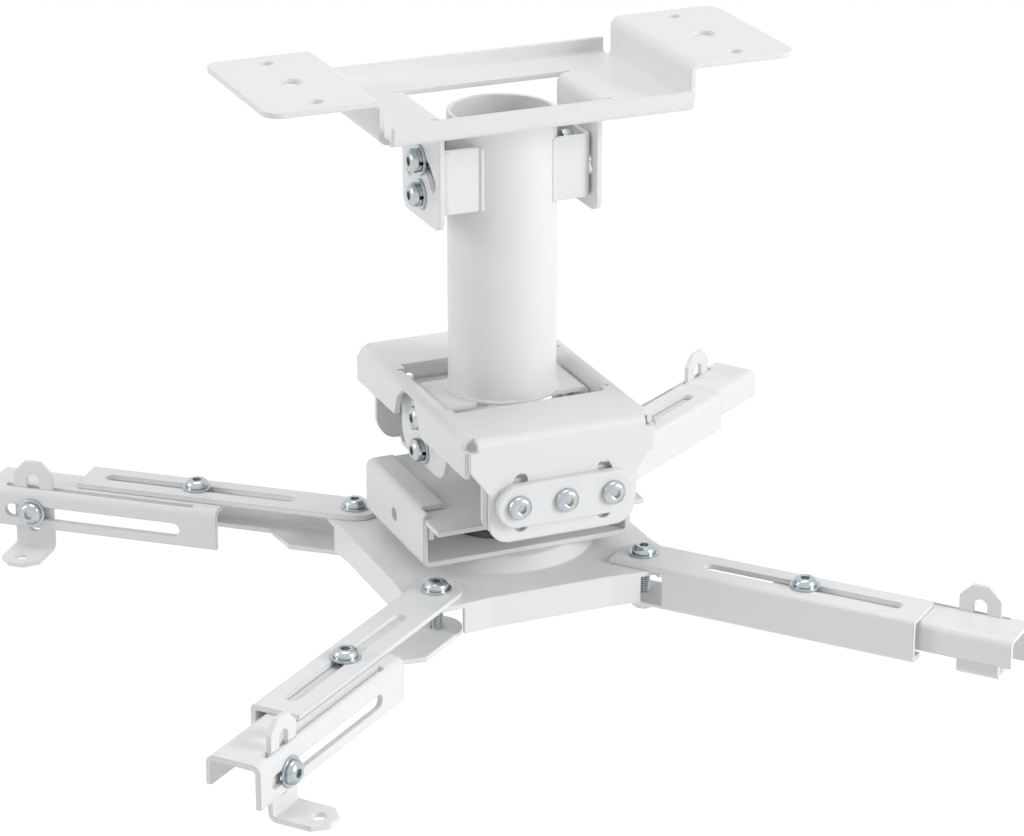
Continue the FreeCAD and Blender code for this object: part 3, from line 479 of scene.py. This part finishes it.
def make_tilt_set(place_name):
    """Screws, washers, spring washers and nuts of one tilt pivot."""
    size = bpy.context.scene.mount_fasteners
    metal = bpy.data.materials["zinc plate"]
    screws = place_name + "_tilt_screws"
    washers = place_name + "_tilt_washers"
    springs = place_name + "_spring_washers"
    nuts = place_name + "_tilt_nuts"
    low, high = along(washers, UP)
    rows = (low + size.washer / 2, high - size.washer / 2)
    side_out = Vector((1, 0, 0))
    washer_out = along(washers, side_out)[1]
    spring_out = along(springs, side_out)[1]
    nut_out = along(nuts, side_out)[1]
    head_out = along(screws, side_out)[1]
    length = spring_out - (nut_out - size.nut_height) + 0.5 * MM

    def places(out):
        for side in (-1, 1):
            for height in rows:
                yield side, Vector((side * out, 0, height))

    def build_screws(shape):
        for side, point in places(head_out - size.head_height):
            add_screw(shape, facing(point, side * side_out), length)

    def build_washers(shape):
        for side, point in places(washer_out - size.washer_thick):
            add_washer(shape, facing(point, side * side_out), size.washer, size.washer_thick,
                       size.bore)

    def build_springs(shape):
        for side, point in places(washer_out):
            add_spring_washer(shape, facing(point, side * side_out), 11 * MM,
                              spring_out - washer_out, size.bore)

    def build_nuts(shape):
        for side, point in places(nut_out - size.nut_height):
            add_nut(shape, facing(point, side * side_out), size.nut, size.nut_height,
                    size.shank)

    for node, builder in ((screws, build_screws), (washers, build_washers),
                          (springs, build_springs), (nuts, build_nuts)):
        new_piece(node + "_threaded", builder, metal, body_of(node), "zinc", node)


def make_roll_set(end, side):
    """Three screws and nuts through a roll strap."""
    size = bpy.context.scene.mount_fasteners
    metal = bpy.data.materials["zinc plate"]
    screws = "roll_screws_" + end
    nuts = "roll_nuts_" + end
    out = Vector((0, side, 0))
    low, high = along(screws, UP)
    height = (low + high) / 2
    reach = along(screws, Vector((1, 0, 0)))[1] - size.head_diameter / 2
    seat = along(screws, out)[1] - size.head_height
    tip = along(screws, out)[0]
    nut_near = along(nuts, out)[0]

    def build_screws(shape):
        for across in (-reach, 0, reach):
            add_screw(shape, facing(Vector((across, side * seat, height)), out), seat - tip)

    def build_nuts(shape):
        for across in (-reach, 0, reach):
            add_nut(shape, facing(Vector((across, side * nut_near, height)), out), size.nut,
                    size.nut_height, size.shank)

    for node, builder in ((screws, build_screws), (nuts, build_nuts)):
        new_piece(node + "_threaded", builder, metal, body_of(node), "zinc", node)


def make_arm_set(corner):
    """Pivot, clamp and foot screws of one arm."""
    size = bpy.context.scene.mount_fasteners
    metal = bpy.data.materials["zinc plate"]
    joints = {joint["name"]: joint for joint in frame["joints"]}
    outward = Vector(joints["extend_" + corner]["axis"]).normalized()
    left = UP.cross(outward)

    def upright_set(node, nut_top):
        middle = [sum(along(node, axis)) / 2 for axis in (Vector((1, 0, 0)), Vector((0, 1, 0)))]
        low, high = along(node, UP)
        seat = high - size.head_height

        def build(shape):
            point = Vector((middle[0], middle[1], 0))
            add_screw(shape, facing(point + UP * seat, UP), seat - low)
            add_washer(shape, facing(point + UP * (seat - size.washer_thick), UP), size.washer,
                       size.washer_thick, size.bore)
            add_nut(shape, facing(point + UP * (nut_top - size.nut_height), UP), size.nut,
                    size.nut_height, size.shank)
        new_piece(node + "_threaded", build, metal, body_of(node), "zinc", node)

    upright_set("pivot_screw_" + corner, along("outer_arm_" + corner, UP)[0])
    upright_set("clamp_screw_" + corner, along("inner_arm_" + corner, UP)[1] - 2.5 * MM)
    node = "foot_screw_" + corner
    low, high = along(node, left)
    seat = high - size.head_height
    level = sum(along(node, UP)) / 2
    distance = sum(along(node, outward)) / 2
    nut_near = low + (seat - low) - size.washer_thick - 10.4 * MM

    def build_foot(shape):
        axis_point = outward * distance + UP * level
        add_screw(shape, facing(axis_point + left * seat, left), seat - low)
        add_washer(shape, facing(axis_point + left * (seat - size.washer_thick), left),
                   size.washer, size.washer_thick, size.bore)
        add_nut(shape, facing(axis_point + left * nut_near, left), size.nut, size.nut_height,
                size.shank)
    new_piece(node + "_threaded", build_foot, metal, body_of(node), "zinc", node)


def weld_bead(name, points, thick, body, closed):
    """A painted weld: a rounded rope with the ripples of the pool."""
    material = bpy.data.materials["white powder coat"]
    count = 10

    def build(shape):
        rings = []
        total = len(points)
        for i, point in enumerate(points):
            before = points[i - 1] if closed or i else points[i]
            after = points[(i + 1) % total] if closed or i < total - 1 else points[i]
            turn = facing(point, (after - before).normalized())
            swell = thick * (1 + 0.14 * math.sin(i * 2.4) + 0.07 * math.sin(i * 0.9))
            rings.append([turn @ Vector(p) for p in circle_ring(swell, 0, count)])
        if closed:
            rings.append(rings[0])
        rings_to_mesh(shape, Matrix.Identity(4), rings, not closed, not closed)
        bmesh.ops.remove_doubles(shape, verts=shape.verts, dist=0.001 * MM)
    new_piece(name, build, material, body, "white_paint")


class MOUNT_OT_sheets(bpy.types.Operator):
    """Coat the folded sheets and the tube"""
    bl_idname = "mount.sheets"
    bl_label = "Coat sheets and tube"

    def execute(self, context):
        coat = powder_coat()
        zinc("zinc plate", context.scene.mount_fasteners.colour, 0.2)
        zinc("dark zinc plate", (0.16, 0.165, 0.17, 1), 0.34)
        pressed_fibre()
        for part in frame["record"]["subparts"]:
            if part["material_slot"] == "white_paint":
                clothe(part["node"], coat)
                soften_edges(part["node"], context.scene.mount_paint.edge_radius)
        return {"FINISHED"}


class MOUNT_OT_pads(bpy.types.Operator):
    """Finish the pads under the roll straps"""
    bl_idname = "mount.pads"
    bl_label = "Finish pads"

    def execute(self, context):
        for end, _side in ENDS:
            clothe("roll_pad_" + end, bpy.data.materials["pad fibre"])
        return {"FINISHED"}


class MOUNT_OT_swivel(bpy.types.Operator):
    """Finish the swivel disc, bolt and nut"""
    bl_idname = "mount.swivel"
    bl_label = "Finish swivel"

    def execute(self, context):
        for node in ("swivel_disc", "swivel_bolt", "swivel_nut"):
            clothe(node, bpy.data.materials["dark zinc plate"])
            soften_edges(node, 0.3 * MM)
        return {"FINISHED"}


class MOUNT_OT_fasteners(bpy.types.Operator):
    """Make the threaded screws, nuts and washers"""
    bl_idname = "mount.fasteners"
    bl_label = "Make fasteners"

    def execute(self, context):
        for place_name in ("ceiling", "frame"):
            make_tilt_set(place_name)
        for end, side in ENDS:
            make_roll_set(end, side)
        for corner in CORNERS:
            make_arm_set(corner)
        return {"FINISHED"}


class MOUNT_OT_welds(bpy.types.Operator):
    """Lay the weld beads on the column"""
    bl_idname = "mount.welds"
    bl_label = "Lay welds"

    def execute(self, context):
        low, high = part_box("drop_tube")
        radius = (high[0] - low[0]) / 2
        thick = 1.0 * MM
        count = 110
        ring = [Vector((x, y, low[2] + thick * 0.4))
                for x, y, _ in circle_ring(radius + thick * 0.2, 0, count)]
        weld_bead("foot_weld", ring, thick, "column", True)
        for name, side in (("left", -1), ("right", 1)):
            bottom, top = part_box("tube_bracket_" + name)
            deep = top[1]
            across = side * math.sqrt(radius ** 2 - deep ** 2)
            for end, depth in (("front", -1), ("rear", 1)):
                points = [Vector((across, depth * (deep + thick * 0.1),
                                  bottom[2] + (top[2] - bottom[2]) * i / 28)) for i in range(29)]
                weld_bead("bracket_weld_%s_%s" % (name, end), points, thick, "column", False)
        return {"FINISHED"}


def area_light(name, place, size, power, aim):
    """A soft lamp that looks at a point."""
    lamp = bpy.data.lights.new(name, "AREA")
    lamp.shape = "RECTANGLE"
    lamp.size, lamp.size_y = size
    lamp.energy = power
    obj = bpy.data.objects.new(name, lamp)
    obj.matrix_world = facing(Vector(place), (Vector(place) - Vector(aim)).normalized())
    bpy.context.scene.collection.objects.link(obj)


def background_shader(tree, lit, share, strength):
    """Camera, glossy and transmission rays see a share of plain white mixed with what is lit."""
    path = tree.nodes.new("ShaderNodeLightPath")
    seen = Value(tree, path.outputs["Is Camera Ray"])
    for ray in ("Is Glossy Ray", "Is Transmission Ray"):
        seen = seen.math("MAXIMUM", seen, Value(tree, path.outputs[ray]))
    plain = seen.node("ShaderNodeEmission", Color=(1, 1, 1, 1), Strength=strength)
    made = seen.node("ShaderNodeMixShader", i0=seen * share, i1=lit,
                     i2=Value(tree, plain.outputs[0]))
    return made.outputs[0]


class MOUNT_OT_stage(bpy.types.Operator):
    """Set the floor, the lights and the camera"""
    bl_idname = "mount.stage"
    bl_label = "Set the stage"

    def execute(self, context):
        stage = context.scene.mount_stage
        scene = context.scene
        scene.view_settings.view_transform = "Standard"
        turn = math.radians(stage.azimuth)
        rise = math.radians(stage.elevation)
        back = Vector((-math.sin(turn) * math.cos(rise), -math.cos(turn) * math.cos(rise),
                       math.sin(rise)))
        camera = bpy.data.cameras.new("camera")
        camera.lens = stage.lens
        camera.sensor_width = 36
        camera.clip_start = 0.05
        eye = Vector((-0.6055, -1.4312, 0.4451))
        camera_object = bpy.data.objects.new("camera", camera)
        camera_object.matrix_world = facing(eye, back)
        scene.collection.objects.link(camera_object)
        scene.camera = camera_object

        floor_level = CAD_BOX[0][2] - stage.drop
        mesh = bpy.data.meshes.new("floor")
        half = 6.0
        mesh.from_pydata([(-half, -half, floor_level), (half, -half, floor_level),
                          (half, half, floor_level), (-half, half, floor_level)], [],
                         [(0, 1, 2, 3)])
        floor = bpy.data.objects.new("floor", mesh)
        scene.collection.objects.link(floor)
        material, shader, place = new_material("pale floor")
        link(shader, Base_Color=(0.9, 0.9, 0.9, 1), Roughness=0.9)
        output = material.node_tree.nodes["Material Output"]
        lit = Value(material.node_tree, shader.outputs[0])
        surface = background_shader(material.node_tree, lit, stage.floor_white, stage.floor_glow)
        material.node_tree.links.new(surface, output.inputs["Surface"])
        mesh.materials.append(material)

        world = bpy.data.worlds.new("studio")
        world.use_nodes = True
        scene.world = world
        tree = world.node_tree
        soft = tree.nodes["Background"]
        soft.inputs["Color"].default_value = (0.98, 0.99, 1.0, 1)
        soft.inputs["Strength"].default_value = 0.44
        surface = background_shader(tree, Value(tree, soft.outputs[0]), 1.0, 1.0)
        tree.links.new(surface, tree.nodes["World Output"].inputs["Surface"])

        middle = (0, 0, -0.15)
        area_light("key", (1.6, -1.8, 0.7), (0.9, 1.4), 33, middle)
        area_light("left fill", (-2.1, 0.5, 0.7), (0.8, 1.2), 13, middle)
        area_light("top", (0.0, 0.2, 1.9), (1.4, 1.0), 12.5, middle)
        return {"FINISHED"}


class MOUNT_PT_panel(bpy.types.Panel):
    """Lists the steps of the ceiling mount"""
    bl_idname = "MOUNT_PT_panel"
    bl_label = "Ceiling mount"
    bl_space_type = "VIEW_3D"
    bl_region_type = "UI"
    bl_category = "Mount"

    def draw(self, context):
        for group in ("mount_paint", "mount_fasteners", "mount_stage"):
            settings = getattr(context.scene, group)
            for name in settings.__annotations__:
                self.layout.prop(settings, name)
        for operator in OPERATORS:
            self.layout.operator(operator.bl_idname)


OPERATORS = (MOUNT_OT_sheets, MOUNT_OT_pads, MOUNT_OT_swivel, MOUNT_OT_fasteners, MOUNT_OT_welds,
             MOUNT_OT_stage)
GROUPS = (MOUNT_paint, MOUNT_fasteners, MOUNT_stage)
CLASSES = GROUPS + OPERATORS + (MOUNT_PT_panel,)


def register():
    for cls in CLASSES:
        bpy.utils.register_class(cls)
    for cls in GROUPS:
        setattr(bpy.types.Scene, cls.__name__.lower(), PointerProperty(type=cls))


def unregister():
    for cls in GROUPS:
        delattr(bpy.types.Scene, cls.__name__.lower())
    for cls in reversed(CLASSES):
        bpy.utils.unregister_class(cls)


def main():
    register()
    bpy.ops.mount.sheets()
    bpy.ops.mount.pads()
    bpy.ops.mount.swivel()
    bpy.ops.mount.fasteners()
    bpy.ops.mount.welds()
    bpy.ops.mount.stage()


if __name__ == "__main__":
    main()
